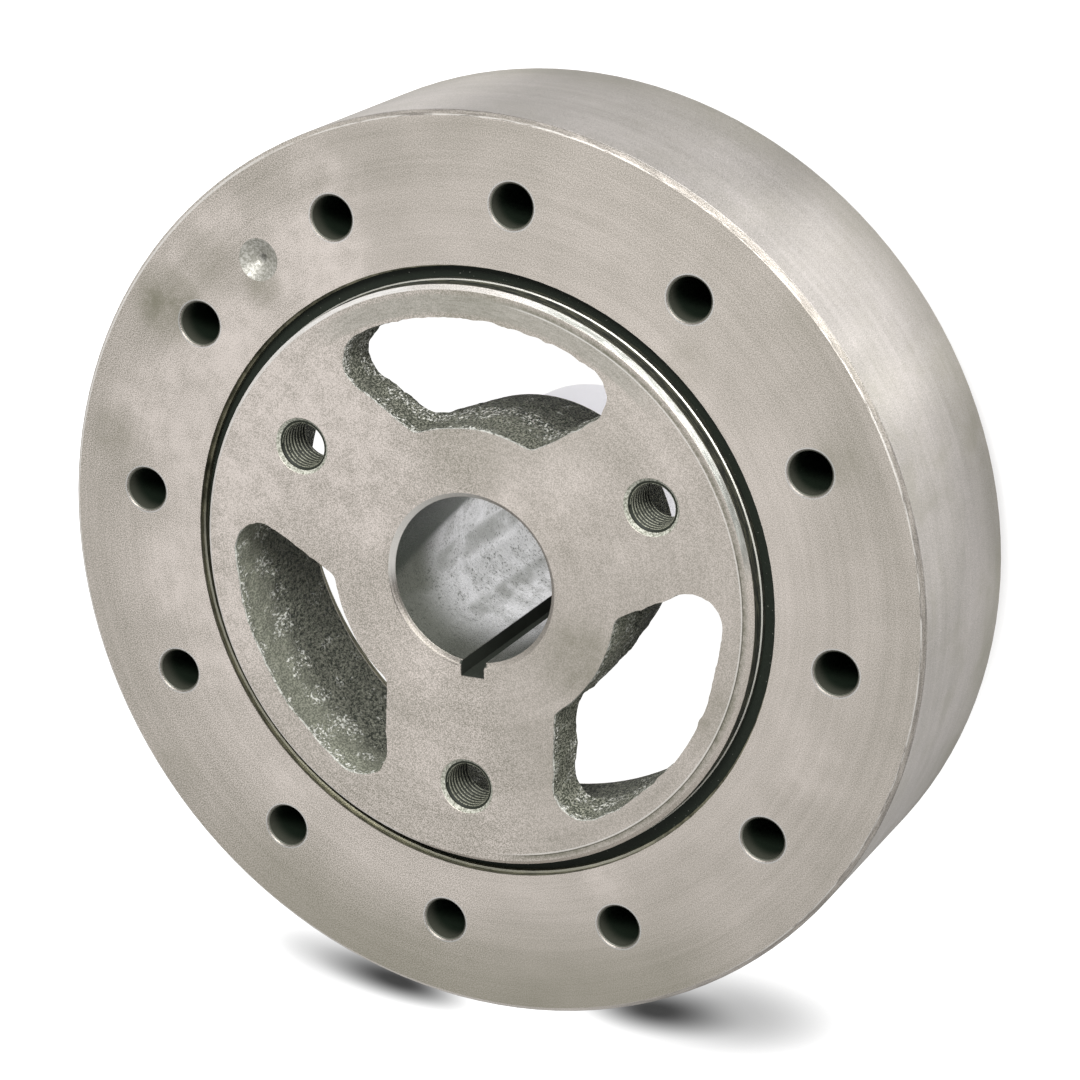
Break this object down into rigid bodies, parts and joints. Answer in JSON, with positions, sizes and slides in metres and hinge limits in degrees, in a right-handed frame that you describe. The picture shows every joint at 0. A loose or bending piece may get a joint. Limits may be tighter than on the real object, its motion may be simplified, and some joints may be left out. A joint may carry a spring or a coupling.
{
  "type": "harmonic balancer",
  "caption": "Crankshaft harmonic balancer: spoked iron hub, bonded rubber strip and heavy drilled inertia ring that damps twist.",
  "frame": {"origin": "on the axis of the crank bore, at the rear end of the hub's snout, on which the part stands", "axes": "+Z along the axis out of the front face, towards the pulley; +X through the middle of one of the ring's drilled holes"},
  "size_m": [0.1714, 0.1714, 0.0575],
  "materials": {
    "hub_iron": "machined faces, rough cast windows",
    "ring_iron": "machined, bare",
    "damper_rubber": "matt moulded"
  },
  "bodies": {
    "root": {"hub": "hub_iron", "elastomer_strip": "damper_rubber", "inertia_ring": "ring_iron"}
  },
  "joints": []
}
